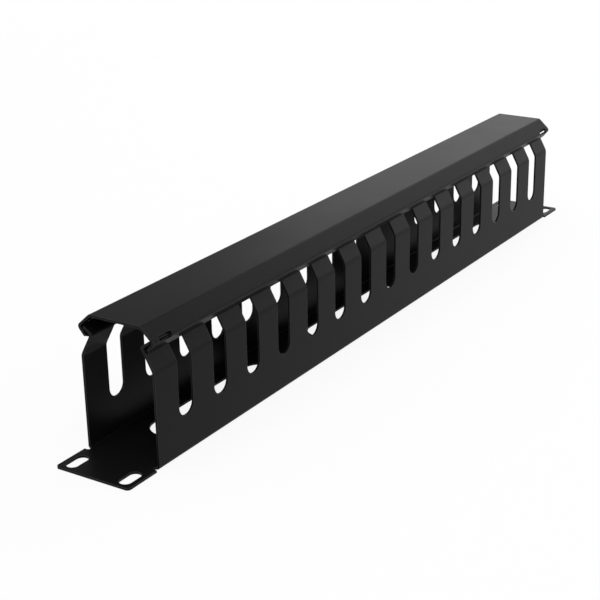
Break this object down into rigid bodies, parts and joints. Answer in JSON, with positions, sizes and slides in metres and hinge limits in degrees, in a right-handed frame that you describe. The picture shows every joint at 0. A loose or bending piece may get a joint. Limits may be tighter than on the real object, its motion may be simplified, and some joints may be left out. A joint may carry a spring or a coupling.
{
  "type": "horizontal cable manager",
  "caption": "Horizontal cable duct for a 19 inch rack: a folded steel channel with rows of hooked fingers, floor openings and slotted ears, closed by a cover that grips the fingers.",
  "frame": {"origin": "middle of the back of the mounting plate, which is also the floor of the channel", "axes": "+X across the rack from slot to slot, +Y up the rack, +Z out of the front of the rack, from the mounting plate to the cover"},
  "size_m": [0.4826, 0.0442, 0.0706],
  "materials": {
    "channel_paint": "matte black powder coat with a fine grain",
    "cover_paint": "matte black powder coat with a fine grain"
  },
  "bodies": {
    "channel": {"base_channel": "channel_paint"},
    "cover": {"cover": "cover_paint"}
  },
  "joints": [
    {"name": "cover_slide", "type": "slide", "parent": "channel", "child": "cover", "axis": [1, 0, 0], "range_m": [0, 0.47]}
  ]
}
